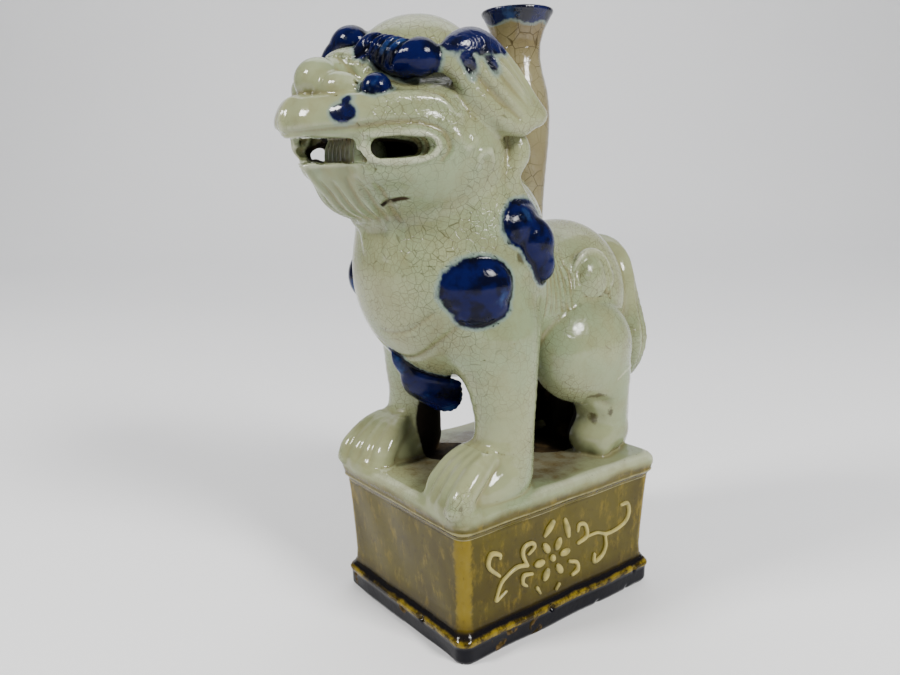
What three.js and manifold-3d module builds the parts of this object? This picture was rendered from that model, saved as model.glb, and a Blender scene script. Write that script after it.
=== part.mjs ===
// A glazed ceramic guardian lion that holds a joss stick.
//
// The lion stands on an open-bottomed slab plinth and carries a thrown tube on its back.
// Every clay piece that the potter presses, throws or models by hand is a solid of its own.
// Units are millimetres, +Z is up, the lion faces -Y and its left side is +X.
import * as THREE from 'three';
import { mergeVertices } from 'three/addons/utils/BufferGeometryUtils.js';
import Module from 'manifold-3d';

const wasm = await Module();
wasm.setup();

// Driving dimensions, measured from the middle of the plinth's footprint.
const GAP = 0.3; // slip joint left between two neighbouring pieces
const PLINTH_WIDTH = 81.2;
const PLINTH_DEPTH = 102;
const PLINTH_HEIGHT = 57;
const PLINTH_CORNER = 4;
const WALL_TOP = 46.6;
const WALL_THICKNESS = 7;
const PANEL_RECESS = 2.6; // how far the wall panels lie behind the rim and the foot
const FOOT_HEIGHT = 7;
const TOP_ROUNDING = 3;
const LEG_SIDE = 28; // from the middle to the middle of each foreleg
const LEG_REAR = -21;
const LEG_RADII = [12.4, 15.5]; // across and along the lion, at the shoulder
const ANKLE_HEIGHT = 67;
const MOUTH_FLOOR = 173.6;
const MOUTH_ROOF = 181.4;
const JAW_HINGE = -48; // the lower jaw is luted on in front of this plane
const TUBE_REAR = 12;
const TUBE_FOOT = 140;
const TUBE_TOP = 229;
const TUBE_BORE = 5.6;
const BORE_FLOOR = 168;
// The lion's muzzle reaches further forward than its tail reaches back.
const MUZZLE_FRONT = -81.5;
const TAIL_BACK = 68;
const CENTRE_SHIFT = -(MUZZLE_FRONT + TAIL_BACK) / 2;

// Segments around and along a ball.
const FINE = [14, 10];
const MEDIUM = [10, 8];
const COARSE = [7, 5];

const GLAZES = {
  celadon: { color: 0xb9bda9, roughness: 0.22, metalness: 0 },
  cobalt: { color: 0x17295f, roughness: 0.18, metalness: 0 },
  olive: { color: 0x7b6a35, roughness: 0.3, metalness: 0 },
  tubeGlaze: { color: 0xa89c86, roughness: 0.3, metalness: 0 },
};

// An ellipsoid with half-lengths `radii`, turned by `turn` (degrees about x, y and z).
function ball(centre, radii, turn = [0, 0, 0], detail = MEDIUM) {
  const geometry = new THREE.SphereGeometry(1, ...detail);
  geometry.rotateX(Math.PI / 2);
  geometry.scale(...radii);
  const [x, y, z] = turn.map(THREE.MathUtils.degToRad);
  geometry.applyMatrix4(new THREE.Matrix4().makeRotationFromEuler(new THREE.Euler(x, y, z, 'ZYX')));
  geometry.translate(...centre);
  return geometry;
}

// A box given by its lowest and highest corners.
function block(low, high) {
  const size = high.map((value, axis) => value - low[axis]);
  const geometry = new THREE.BoxGeometry(...size);
  geometry.translate(...low.map((value, axis) => value + size[axis] / 2));
  return geometry;
}

// A turned solid about a vertical axis, from a profile of [radius, height] points.
function turned(profile, centre, stretch = [1, 1], segments = 24) {
  const points = profile.map(([radius, height]) => new THREE.Vector2(radius, height));
  const geometry = new THREE.LatheGeometry(points, segments);
  geometry.rotateX(Math.PI / 2);
  geometry.scale(stretch[0], stretch[1], 1);
  geometry.translate(centre[0], centre[1], 0);
  return geometry;
}

// A closed mesh becomes a solid once its shared corners are merged and its empty faces dropped.
function solidOf(geometry) {
  const bare = geometry.clone();
  bare.deleteAttribute('normal');
  bare.deleteAttribute('uv');
  const merged = mergeVertices(bare, 1e-4);
  const index = merged.index.array;
  const triVerts = [];
  for (let i = 0; i < index.length; i += 3) {
    const [a, b, c] = [index[i], index[i + 1], index[i + 2]];
    if (a !== b && b !== c && c !== a) triVerts.push(a, b, c);
  }
  return new wasm.Manifold(new wasm.Mesh({
    numProp: 3,
    vertProperties: new Float32Array(merged.attributes.position.array),
    triVerts: new Uint32Array(triVerts),
  }));
}

// The same shape with every side moved out by `margin`, or in where it is negative.
function widened(geometry, margin) {
  const copy = geometry.clone();
  copy.computeBoundingBox();
  const centre = copy.boundingBox.getCenter(new THREE.Vector3());
  const size = copy.boundingBox.getSize(new THREE.Vector3());
  copy.translate(-centre.x, -centre.y, -centre.z);
  copy.scale(1 + 2 * margin / size.x, 1 + 2 * margin / size.y, 1 + 2 * margin / size.z);
  copy.translate(centre.x, centre.y, centre.z);
  return copy;
}

function joined(geometries) {
  return geometries.map(solidOf).reduce((whole, part) => whole.add(part));
}

function meshOf(name, solid, glaze) {
  const { vertProperties, triVerts } = solid.getMesh();
  const geometry = new THREE.BufferGeometry();
  geometry.setAttribute('position', new THREE.BufferAttribute(vertProperties, 3));
  geometry.setIndex(new THREE.BufferAttribute(triVerts, 1));
  geometry.computeVertexNormals();
  const mesh = new THREE.Mesh(geometry, new THREE.MeshStandardMaterial(GLAZES[glaze]));
  mesh.name = name;
  return mesh;
}

const lion = new THREE.Group();
const placed = [];

// A piece is a few shapes joined, less its own cuts, and fitted against the pieces placed before it.
function place(name, glaze, shapes, cuts = []) {
  const box = new THREE.Box3();
  for (const shape of shapes) {
    shape.computeBoundingBox();
    box.union(shape.boundingBox);
  }
  box.expandByScalar(GAP);
  let solid = joined(shapes);
  let room = joined(shapes.map((shape) => widened(shape, GAP)));
  for (const cut of cuts) {
    solid = solid.subtract(solidOf(cut));
    room = room.subtract(solidOf(widened(cut, -GAP)));
  }
  for (const other of placed) {
    if (other.box.intersectsBox(box)) solid = solid.subtract(other.room);
  }
  placed.push({ box, room });
  lion.add(meshOf(name, solid, glaze));
}

// Both sides of the lion carry the same piece, mirrored: `make` is given +1 for the left, -1 for the right.
function placePair(name, glaze, make) {
  place(`left_${name}`, glaze, make(1));
  place(`right_${name}`, glaze, make(-1));
}

// ---- plinth ----

function roundedRectangle(width, depth, corner) {
  const [x, y] = [width / 2, depth / 2];
  const shape = new THREE.Shape();
  shape.moveTo(x - corner, -y);
  shape.absarc(x - corner, -y + corner, corner, -Math.PI / 2, 0, false);
  shape.absarc(x - corner, y - corner, corner, 0, Math.PI / 2, false);
  shape.absarc(-x + corner, y - corner, corner, Math.PI / 2, Math.PI, false);
  shape.absarc(-x + corner, -y + corner, corner, Math.PI, Math.PI * 1.5, false);
  return shape;
}

function plinthTop() {
  const outline = roundedRectangle(
    PLINTH_WIDTH - 2 * TOP_ROUNDING, PLINTH_DEPTH - 2 * TOP_ROUNDING, PLINTH_CORNER);
  const slab = new THREE.ExtrudeGeometry(outline, {
    depth: PLINTH_HEIGHT - WALL_TOP - GAP,
    bevelEnabled: true,
    bevelThickness: TOP_ROUNDING,
    bevelSize: TOP_ROUNDING,
    bevelSegments: 3,
    curveSegments: 3,
  });
  slab.translate(0, 0, WALL_TOP + GAP - TOP_ROUNDING);
  const under = block([-60, -70, 0], [60, 70, WALL_TOP + GAP]);
  const solid = solidOf(slab).subtract(solidOf(under));
  lion.add(meshOf('plinth_top', solid, 'olive'));
}

// One wall: its section, swept along `length`, with the ends mitred into the neighbours' ends.
function wallSlab(name, halfSpan, length, turn) {
  const [inner, panel] = [halfSpan - WALL_THICKNESS, halfSpan - PANEL_RECESS];
  const section = new THREE.Shape();
  section.moveTo(inner, 0);
  section.lineTo(halfSpan, 0);
  section.lineTo(halfSpan, FOOT_HEIGHT - 2);
  section.quadraticCurveTo(panel, FOOT_HEIGHT, panel, FOOT_HEIGHT + 4);
  section.lineTo(panel, WALL_TOP - 7);
  section.quadraticCurveTo(panel, WALL_TOP - 2, halfSpan, WALL_TOP);
  section.lineTo(inner, WALL_TOP);
  section.closePath();
  const slab = new THREE.ExtrudeGeometry(section, { depth: length, bevelEnabled: false, curveSegments: 4 });
  slab.rotateX(Math.PI / 2);
  slab.translate(0, length / 2, 0);
  const [far, near] = [halfSpan + 10, halfSpan - 20];
  const slack = length / 2 - halfSpan - GAP;
  const mitre = new THREE.Shape([
    new THREE.Vector2(near, -near - slack),
    new THREE.Vector2(far, -far - slack),
    new THREE.Vector2(far, far + slack),
    new THREE.Vector2(near, near + slack),
  ]);
  const wedge = new THREE.ExtrudeGeometry(mitre, { depth: PLINTH_HEIGHT, bevelEnabled: false });
  wedge.translate(0, 0, -1);
  slab.rotateZ(turn);
  wedge.rotateZ(turn);
  const outline = roundedRectangle(PLINTH_WIDTH, PLINTH_DEPTH, PLINTH_CORNER);
  const footprint = new THREE.ExtrudeGeometry(outline, {
    depth: PLINTH_HEIGHT, bevelEnabled: false, curveSegments: 4,
  });
  footprint.translate(0, 0, -1);
  const solid = solidOf(slab).intersect(solidOf(wedge)).intersect(solidOf(footprint));
  lion.add(meshOf(name, solid, 'olive'));
}

// A flower with eight petals between two curling stems, laid on a long wall's panel.
function flowerSprig(name, side) {
  const [thickness, lift, height] = [1.2, 0.3, 26];
  const parts = [ball([0, 0, 0], [thickness, 2.6, 2.6], [0, 0, 0], COARSE)];
  for (let petal = 0; petal < 8; petal += 1) {
    const angle = petal * Math.PI / 4;
    parts.push(ball(
      [0, 4.6 * Math.cos(angle), 4.6 * Math.sin(angle)], [thickness, 3.2, 1.7], [angle * 180 / Math.PI, 0, 0], COARSE));
  }
  for (const end of [-1, 1]) {
    const stem = new THREE.CatmullRomCurve3([
      [4, 0], [10, 3.5], [16, 1], [22, -3], [27, 0], [26, 5], [22, 5.5],
    ].map(([y, z]) => new THREE.Vector3(0, end * y, end * z)));
    const ribbon = new THREE.Shape().absarc(0, 0, 0.9, 0, 2 * Math.PI, false);
    parts.push(new THREE.ExtrudeGeometry(ribbon, {
      extrudePath: stem, steps: 10, curveSegments: 2, bevelEnabled: false,
    }));
  }
  const panel = PLINTH_WIDTH / 2 - PANEL_RECESS + lift;
  for (const part of parts) part.translate(side * panel, 0, height);
  const behind = block(side > 0 ? [0, -50, 0] : [-panel, -50, 0], side > 0 ? [panel, 50, 50] : [0, 50, 50]);
  lion.add(meshOf(name, joined(parts).subtract(solidOf(behind)), 'olive'));
}

plinthTop();
wallSlab('plinth_front_wall', PLINTH_DEPTH / 2, PLINTH_WIDTH, -Math.PI / 2);
wallSlab('plinth_back_wall', PLINTH_DEPTH / 2, PLINTH_WIDTH, Math.PI / 2);
wallSlab('plinth_left_wall', PLINTH_WIDTH / 2, PLINTH_DEPTH, 0);
wallSlab('plinth_right_wall', PLINTH_WIDTH / 2, PLINTH_DEPTH, Math.PI);
flowerSprig('left_flower_sprig', 1);
flowerSprig('right_flower_sprig', -1);
const ground = block([-45, -60, 40], [45, 75, PLINTH_HEIGHT + GAP]);

// ---- body ----

place('torso', 'celadon', [
  ball([0, -21, 134], [35.5, 37, 41], [0, 0, 0], FINE),
  ball([0, -22, 154], [27, 27, 21], [0, 0, 0], FINE),
  ball([0, 10, 122], [29, 32, 29], [0, 0, 0], FINE),
  ball([0, 33, 118], [29.5, 27, 32], [0, 0, 0], FINE),
]);

function foreleg(side) {
  const column = [
    [0, ANKLE_HEIGHT + GAP], [0.8, ANKLE_HEIGHT + GAP], [0.82, 80], [0.98, 94], [1, 108], [0.7, 121], [0, 123],
  ];
  return [turned(column, [side * LEG_SIDE, LEG_REAR], LEG_RADII, 14)];
}

function forepaw(side) {
  const shapes = [
    turned([[0, 50], [0.86, 50], [0.82, ANKLE_HEIGHT], [0, ANKLE_HEIGHT]],
      [side * LEG_SIDE, LEG_REAR], LEG_RADII, 14),
    ball([side * 27.5, -31, 58], [12.6, 17, 10.5]),
  ];
  for (const step of [-1.5, -0.5, 0.5, 1.5]) {
    shapes.push(ball([side * (27.5 + step * 5.8), -45 - step, 59.5], [3.4, 6.2, 5.6], [0, 0, 0], COARSE));
  }
  return shapes;
}

function haunch(side) {
  return [ball([side * 23.7, 24, 101], [14.8, 25.5, 22.5], [-8, 0, 0], FINE)];
}

function hindFoot(side) {
  const shapes = [
    ball([side * 22.5, 36, 65], [10.8, 15, 13]),
    ball([side * 23, 37, 76], [10.5, 13, 11]),
  ];
  for (const step of [-1, 0, 1]) {
    shapes.push(ball([side * (22.5 + step * 6), 24 + Math.abs(step) * 2, 61.5], [3.6, 6.5, 5.8], [0, 0, 0], COARSE));
  }
  return shapes;
}

for (const [side, label] of [[1, 'left'], [-1, 'right']]) {
  place(`${label}_foreleg`, 'celadon', foreleg(side));
  place(`${label}_forepaw`, 'celadon', forepaw(side), [ground]);
  place(`${label}_haunch`, 'celadon', haunch(side));
  place(`${label}_hind_foot`, 'celadon', hindFoot(side), [ground]);
}

place('tail', 'celadon', [
  ball([0, 55, 100], [24, 13, 28], [0, 0, 0], FINE),
  ball([0, 52, 122], [20, 13, 27], [0, 0, 0], FINE),
]);
placePair('hip_curl', 'celadon', (side) => [ball([side * 27, 27, 130], [8, 9.5, 9.5])]);

// ---- head ----

place('head', 'celadon', [
  ball([0, -33, 194], [32, 29, 29.5], [0, 0, 0], FINE),
  ball([0, -28, 176], [33, 24, 24], [0, 0, 0], FINE),
  ball([0, -54, 190], [30, 27.5, 14], [-4, 0, 0], FINE),
  ball([12, -61, 189], [14, 17.5, 11], [0, 0, 20]),
  ball([-12, -61, 189], [14, 17.5, 11], [0, 0, -20]),
], [
  block([-60, -100, MOUTH_FLOOR - 40], [60, JAW_HINGE, MOUTH_ROOF]),
]);
place('lower_jaw', 'celadon', [
  ball([0, -53, 168.5], [26, 27, 13.5], [4, 0, 0], FINE),
  ball([0, -62, 165], [19, 15, 11]),
], [
  block([-60, -100, MOUTH_FLOOR], [60, 0, MOUTH_FLOOR + 30]),
  block([-60, JAW_HINGE - GAP, 120], [60, 0, 200]),
]);
place('tongue', 'celadon', [ball([0, -62, 172.5], [10, 13, 3.5])]);
placePair('fang', 'celadon', (side) => [
  turned([[0, MOUTH_FLOOR - 4], [3, MOUTH_FLOOR - 4], [2.2, 178], [3, MOUTH_ROOF + 4], [0, MOUTH_ROOF + 4]],
    [side * 18.5, -69], [1, 1], 8),
]);
place('nose', 'celadon', [
  ball([0, -74.5, 200.5], [9, 6.8, 6.2]),
  ball([11, -72, 196.5], [6.2, 6, 5.2]),
  ball([-11, -72, 196.5], [6.2, 6, 5.2]),
]);
placePair('eye', 'cobalt', (side) => [ball([side * 21, -66, 198], [5.2, 5.2, 5.2])]);
placePair('brow', 'cobalt', (side) => [
  ball([side * 11, -60, 209], [7.5, 7, 7.5], [0, 0, 0]),
  ball([side * 21, -54, 209.5], [11, 9, 7.5], [0, 0, side * 28]),
]);
placePair('ear', 'celadon', (side) => [
  ball([side * 31, -30, 203], [7, 13, 12], [0, 0, 0]),
  ball([side * 34.5, -21, 191], [5, 12, 14], [-30, 0, 0]),
]);
placePair('mane_lock', 'celadon', (side) => [ball([side * 24, -12, 172], [9.5, 13, 20], [0, 0, 0])]);

// ---- ornaments ----

placePair('bell', 'cobalt', (side) => [ball([side * 29, -37, 131], [7.5, 13, 12], [0, 0, side * -33])]);
placePair('mane_tuft', 'cobalt', (side) => [
  ball([side * 29, -15, 151.5], [7, 9, 9.5]),
  ball([side * 30, -8, 141], [7, 8.5, 10]),
]);
place('chest_tassel', 'cobalt', [ball([0, -36.5, 93.5], [9.5, 6.5, 19], [-36, 0, 0])]);

// ---- incense tube ----

function tubeProfile() {
  const outside = [
    [9.6, TUBE_FOOT], [10, 156], [11.2, 174], [12, 193], [10.6, 204], [8.6, 214],
    [9.4, 220], [12.4, 226], [13.4, TUBE_TOP - 1.6], [12.6, TUBE_TOP],
  ];
  const inside = [[11, TUBE_TOP - 1], [7, 219], [TUBE_BORE, 212], [TUBE_BORE, BORE_FLOOR]];
  return [[0, TUBE_FOOT], ...outside, ...inside, [0, BORE_FLOOR]];
}

place('incense_tube', 'tubeGlaze', [turned(tubeProfile(), [0, TUBE_REAR], [1, 1], 20)]);

lion.position.y = CENTRE_SHIFT;
lion.updateMatrixWorld(true);

export default lion;
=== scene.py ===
import math

import bpy
import numpy as np
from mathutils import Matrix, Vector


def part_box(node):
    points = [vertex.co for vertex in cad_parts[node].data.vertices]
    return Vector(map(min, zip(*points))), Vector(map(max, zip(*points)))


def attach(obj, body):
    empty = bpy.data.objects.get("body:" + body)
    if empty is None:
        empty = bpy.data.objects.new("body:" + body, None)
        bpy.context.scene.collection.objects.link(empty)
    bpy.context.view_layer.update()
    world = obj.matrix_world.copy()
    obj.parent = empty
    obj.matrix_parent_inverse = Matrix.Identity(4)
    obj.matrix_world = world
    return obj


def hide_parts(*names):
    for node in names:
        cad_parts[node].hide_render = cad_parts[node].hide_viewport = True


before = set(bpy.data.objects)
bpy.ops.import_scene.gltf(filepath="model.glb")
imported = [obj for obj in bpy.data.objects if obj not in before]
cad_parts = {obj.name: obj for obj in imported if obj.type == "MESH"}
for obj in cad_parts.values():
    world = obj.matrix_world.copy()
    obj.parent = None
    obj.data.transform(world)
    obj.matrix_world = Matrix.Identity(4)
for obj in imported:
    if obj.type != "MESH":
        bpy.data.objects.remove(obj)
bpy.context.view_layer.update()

import openvdb as vdb
from mathutils import Matrix, Vector

PLINTH_LOW, PLINTH_HIGH = (1000 * np.array(corner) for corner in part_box("plinth_top"))
SHIFT = (PLINTH_LOW + PLINTH_HIGH) / 2 * np.array([1, 1, 0])
HALF_WIDTH, HALF_DEPTH = (PLINTH_HIGH - PLINTH_LOW)[:2] / 2
GROUND = PLINTH_HIGH[2]
WALL_TOP = PLINTH_LOW[2]
WALL_THICKNESS = 7.0

VOXEL = 0.75
WALL_VOXEL = 0.8
SPRIG_VOXEL = 0.45
FAR = 30.0  # a distance that means "nowhere near any surface"
BEYOND = 300.0  # further out than any part of the lion
PAINT_REACH = 6.0  # painted depths are known this far from a patch
LEAN = 0.05  # the head's right side is a little higher than its left
SIDES = {"left": 1, "right": -1}


# ---- shapes: each has a box and gives signed distances in millimetres, negative inside ----

def turned_axes(turn):
    """The matrix of a turn about x, then y, then z, in degrees."""
    x, y, z = (math.radians(angle) for angle in turn)
    return np.array(Matrix.Rotation(z, 3, "Z") @ Matrix.Rotation(y, 3, "Y") @ Matrix.Rotation(x, 3, "X"))


class Ball:
    """An ellipsoid, perhaps turned."""

    def __init__(self, centre, radii, turn=(0, 0, 0)):
        self.centre = np.array(centre, float)
        self.radii = np.array(radii, float)
        self.axes = turned_axes(turn)
        half = np.abs(self.axes) @ self.radii
        self.low, self.high = self.centre - half, self.centre + half

    def distance(self, x, y, z):
        near, steep = 0, 0
        offset = (x - self.centre[0], y - self.centre[1], z - self.centre[2])
        for i in range(3):
            along = sum(np.float32(self.axes[j, i]) * offset[j] for j in range(3))
            near = near + (along / np.float32(self.radii[i])) ** 2
            steep = steep + (along / np.float32(self.radii[i] ** 2)) ** 2
        near = np.sqrt(near)
        return near * (near - 1) / np.maximum(np.sqrt(steep), 1e-6)


class Rod:
    """A round bar between two points, with a radius at each end."""

    def __init__(self, start, end, start_radius, end_radius):
        self.start, self.end = np.array(start, float), np.array(end, float)
        self.radii = (start_radius, end_radius)
        size = max(self.radii)
        self.low = np.minimum(self.start, self.end) - size
        self.high = np.maximum(self.start, self.end) + size

    def distance(self, x, y, z):
        span = self.end - self.start
        offset = (x - self.start[0], y - self.start[1], z - self.start[2])
        along = sum(span[i] * offset[i] for i in range(3)) / max(float(span @ span), 1e-9)
        along = np.clip(along, 0, 1)
        gap = sum((offset[i] - along * span[i]) ** 2 for i in range(3))
        return np.sqrt(gap) - (self.radii[0] + (self.radii[1] - self.radii[0]) * along)


class Melt:
    """Several shapes joined with soft creases."""

    def __init__(self, shapes, blend=0.0):
        self.shapes, self.blend = shapes, blend
        self.low = np.min([shape.low for shape in shapes], axis=0)
        self.high = np.max([shape.high for shape in shapes], axis=0)

    def distance(self, x, y, z):
        whole = self.shapes[0].distance(x, y, z)
        for shape in self.shapes[1:]:
            whole = soft_min(whole, shape.distance(x, y, z), self.blend)
        return whole


class Grown:
    """A shape with its surface moved out by a margin, or in where it is negative."""

    def __init__(self, shape, margin):
        self.shape, self.margin = shape, margin
        self.low, self.high = shape.low - margin, shape.high + margin

    def distance(self, x, y, z):
        return self.shape.distance(x, y, z) - self.margin


class Region:
    """Everything behind all of some planes, each a point and an outward direction."""

    def __init__(self, planes):
        self.planes = [(np.array(p, float), np.array(n, float) / np.linalg.norm(n)) for p, n in planes]
        self.low, self.high = np.full(3, -BEYOND), np.full(3, BEYOND)

    def distance(self, x, y, z):
        whole = -FAR
        for point, out in self.planes:
            side = (x - point[0]) * out[0] + (y - point[1]) * out[1] + (z - point[2]) * out[2]
            whole = np.maximum(whole, side)
        return whole


class Slab:
    """The plinth: a rectangle with rounded corners whose inset from the full size changes with height."""

    def __init__(self, half, corner, low, high, insets):
        self.half, self.corner = half, corner
        self.heights, self.insets = np.array(insets, float).T
        self.low = np.array([-half[0], -half[1], low], float)
        self.high = np.array([half[0], half[1], high], float)

    def inset(self, z):
        return np.interp(z, self.heights, self.insets).astype(np.float32)

    def distance(self, x, y, z):
        inset = self.inset(z)
        across = np.abs(x) - (self.half[0] - inset - self.corner)
        along = np.abs(y) - (self.half[1] - inset - self.corner)
        outside = np.hypot(np.maximum(across, 0), np.maximum(along, 0))
        wall = outside + np.minimum(np.maximum(across, along), 0) - self.corner
        return np.maximum(wall, np.maximum(z - self.high[2], self.low[2] - z))


def soft_min(a, b, blend):
    if blend <= 0:
        return np.minimum(a, b)
    share = np.clip(0.5 + 0.5 * (b - a) / blend, 0, 1)
    return b + (a - b) * share - blend * share * (1 - share)


def smooth_path(points, steps=6):
    """Points along a smooth curve through the given ones."""
    points = np.array(points, float)
    ends = np.vstack([2 * points[0] - points[1], points, 2 * points[-1] - points[-2]])
    made = []
    for i in range(len(points) - 1):
        a, b, c, d = ends[i:i + 4]
        for t in np.arange(steps) / steps:
            made.append(0.5 * (2 * b + (c - a) * t + (2 * a - 5 * b + 4 * c - d) * t ** 2
                               + (3 * b - a - 3 * c + d) * t ** 3))
    made.append(points[-1])
    return np.array(made)


def rope(points, radii, steps=5, blend=0.0):
    """A round bar along a smooth curve, with a radius at each of its points."""
    line = smooth_path([(*point, radius) for point, radius in zip(points, radii)], steps)
    bars = [Rod(a[:3], b[:3], a[3], b[3]) for a, b in zip(line[:-1], line[1:])]
    return Melt(bars, blend)


def between(a, b, share):
    return tuple(p + (q - p) * share for p, q in zip(a, b))


# ---- a block of clay ----

class Clay:
    """Signed distances on a regular grid."""

    def __init__(self, low, high, voxel):
        self.low, self.voxel = np.array(low, float), voxel
        self.size = np.ceil((np.array(high) - self.low) / voxel).astype(int) + 1
        self.values = np.full(tuple(self.size), FAR, np.float32)

    def window(self, low, high):
        start = np.clip(np.floor((low - self.low) / self.voxel).astype(int), 0, self.size - 1)
        stop = np.clip(np.ceil((high - self.low) / self.voxel).astype(int) + 1, start + 1, self.size)
        slices = tuple(slice(a, b) for a, b in zip(start, stop))
        x, y, z = (
            (self.low[i] + self.voxel * np.arange(start[i], stop[i])).astype(np.float32) for i in range(3)
        )
        return slices, (x[:, None, None], y[None, :, None], z[None, None, :])

    def add(self, shape, blend=0.0):
        reach = max(5, blend + 2)
        slices, place = self.window(shape.low - reach, shape.high + reach)
        self.values[slices] = soft_min(self.values[slices], shape.distance(*place), blend)

    def carve(self, shape, blend=0.0):
        reach = max(3, blend + 2)
        slices, place = self.window(shape.low - reach, shape.high + reach)
        self.values[slices] = -soft_min(-self.values[slices], shape.distance(*place), blend)

    def wobble(self, size, wavelength, seed):
        """Gentle hand-made unevenness: a few slow waves laid over the surface."""
        chance = np.random.default_rng(seed)
        _, place = self.window(self.low, self.low + self.size * self.voxel)
        for _ in range(4):
            wave = chance.normal(size=3) * 2 * math.pi / wavelength / 1.7
            phase = chance.uniform(0, 2 * math.pi)
            angle = sum(np.float32(wave[i]) * place[i] for i in range(3)) + np.float32(phase)
            self.values += np.float32(size / 4) * np.sin(angle)

    def sample(self, values, points):
        """Values of a grid at points, between its corners."""
        spot = np.clip((points - self.low) / self.voxel, 0, self.size - 1.001)
        base = spot.astype(int)
        part = (spot - base).astype(np.float32)
        total = 0
        for corner in range(8):
            step = np.array([corner >> 2 & 1, corner >> 1 & 1, corner & 1])
            weight = np.prod(np.where(step, part, 1 - part), axis=1)
            total = total + weight * values[tuple((base + step).T)]
        return total

    def slope(self, values, points):
        """The direction in which a grid's values grow."""
        made = []
        for axis in range(3):
            step = np.zeros(3)
            step[axis] = self.voxel * 0.5
            made.append(self.sample(values, points + step) - self.sample(values, points - step))
        made = np.stack(made, axis=1) / self.voxel
        return made / np.maximum(np.linalg.norm(made, axis=1, keepdims=True), 1e-6)

    def snapped(self, points, depth=0.0):
        """Points moved onto the surface, or `depth` beneath it."""
        points = np.array(points, float)
        for _ in range(5):
            off = self.sample(self.values, points) + depth
            points = points - off[:, None] * self.slope(self.values, points)
        return points

    def trail(self, points, radii, depth):
        """A rope that follows the surface, with its radii spread evenly along it."""
        line = smooth_path(points, 3)
        share = np.linspace(0, 1, len(line))
        sizes = np.interp(share, np.linspace(0, 1, len(radii)), radii)
        return rope(self.snapped(line, depth), sizes, 2)

    def groove(self, points, radii, blend=1.2, depth=0.0):
        self.carve(self.trail(points, radii, depth), blend)

    def ridge(self, points, radii, blend=1.5, depth=0.0):
        self.add(self.trail(points, radii, depth), blend)


def blurred(values, rounds):
    """A grid smoothed over its neighbours along each axis."""
    for _ in range(rounds):
        for axis in range(3):
            ahead, behind = np.roll(values, 1, axis), np.roll(values, -1, axis)
            values = (values * 2 + ahead + behind) / 4
    return values


# ---- pieces cut from the clay ----

class Studio:
    """Divides one block of clay into pieces whose outer faces meet without a step."""

    def __init__(self, clay, prefix_slot):
        self.clay, self.slot = clay, prefix_slot
        self.taken = np.full_like(clay.values, FAR)
        self.smooth = blurred(clay.values, 4)

    def reserve(self, shape):
        slices, place = self.clay.window(shape.low - 3, shape.high + 3)
        self.taken[slices] = np.minimum(self.taken[slices], shape.distance(*place))

    def piece(self, name, territory, nodes, slot=None, unpainted=()):
        """The clay inside a territory, apart from what earlier pieces took, as one closed mesh."""
        clay = self.clay
        slices, place = clay.window(territory.low - 3, territory.high + 3)
        own = np.broadcast_to(territory.distance(*place), clay.values[slices].shape).astype(np.float32)
        region = np.full_like(clay.values, FAR)
        region[slices] = np.maximum(own, -self.taken[slices])
        self.taken[slices] = np.minimum(self.taken[slices], own)
        solid = np.maximum(clay.values[slices], region[slices])
        filled = solid < 0
        start, stop = [], []
        for axis in range(3):
            rows = np.flatnonzero(filled.any(axis=tuple(other for other in range(3) if other != axis)))
            start.append(max(rows[0] - 2, 0))
            stop.append(rows[-1] + 3)
        solid = np.pad(solid[tuple(slice(a, b) for a, b in zip(start, stop))], 1, constant_values=clay.voxel)
        grid = vdb.FloatGrid(FAR)
        grid.copyFromArray(solid)
        points, _, quads = grid.convertToPolygons(0.0, 0.0)
        corner = np.array([part.start for part in slices]) + np.array(start) - 1
        points = clay.low + (np.array(points, float) + corner) * clay.voxel
        quads = np.array(quads, int)
        points = self.sharpened(points, region)
        self.finish(name, points, quads, nodes, slot or self.slot, unpainted)

    def sharpened(self, points, region):
        """Corners near a joint are moved onto the line where the outer face meets the joint's face."""
        clay = self.clay
        edge = 0.6 * clay.voxel
        for _ in range(3):
            outer = clay.sample(clay.values, points)
            joint = clay.sample(region, points)
            both = (np.abs(outer) < edge) & (np.abs(joint) < edge)
            near = points[both]
            near = near - outer[both, None] * clay.slope(clay.values, near)
            near = near - clay.sample(region, near)[:, None] * clay.slope(region, near)
            points[both] = near
        return points

    def finish(self, name, points, quads, nodes, slot, unpainted):
        """Outer faces are shaded from the whole clay's slope, so that no joint shows as a crease."""
        clay = self.clay
        mesh = new_mesh(name, points, quads)
        normals = clay.slope(clay.values, points)
        edges = points[quads]
        flat = np.cross(edges[:, 2] - edges[:, 0], edges[:, 3] - edges[:, 1])
        flat /= np.maximum(np.linalg.norm(flat, axis=1, keepdims=True), 1e-9)
        depth = clay.sample(clay.values, points)[quads] / clay.voxel
        outside = (depth > -1.3).all(axis=1) & (depth > -0.3).any(axis=1)
        loops = np.where(outside[:, None, None], normals[quads], flat[:, None, :])
        mesh.normals_split_custom_set(loops.reshape(-1, 3).tolist())
        paint(mesh, "relief", clay.sample(self.smooth, points))
        for layer, patches in PAINT.items():
            paint(mesh, layer, painted_depth(points, () if layer in unpainted else patches))
        place_piece(name, mesh, nodes, slot)


def new_mesh(name, points, faces):
    mesh = bpy.data.meshes.new(name)
    corners = faces.shape[1]
    mesh.vertices.add(len(points))
    mesh.vertices.foreach_set("co", ((points + SHIFT) / 1000).astype(np.float32).ravel())
    mesh.loops.add(faces.size)
    mesh.loops.foreach_set("vertex_index", faces.ravel().astype(np.int32))
    mesh.polygons.add(len(faces))
    mesh.polygons.foreach_set("loop_start", np.arange(0, faces.size, corners, dtype=np.int32))
    mesh.polygons.foreach_set("use_smooth", np.ones(len(faces), bool))
    mesh.update(calc_edges=True)
    return mesh


def paint(mesh, name, values):
    layer = mesh.attributes.new(name, "FLOAT", "POINT")
    layer.data.foreach_set("value", np.asarray(values, np.float32))


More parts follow.
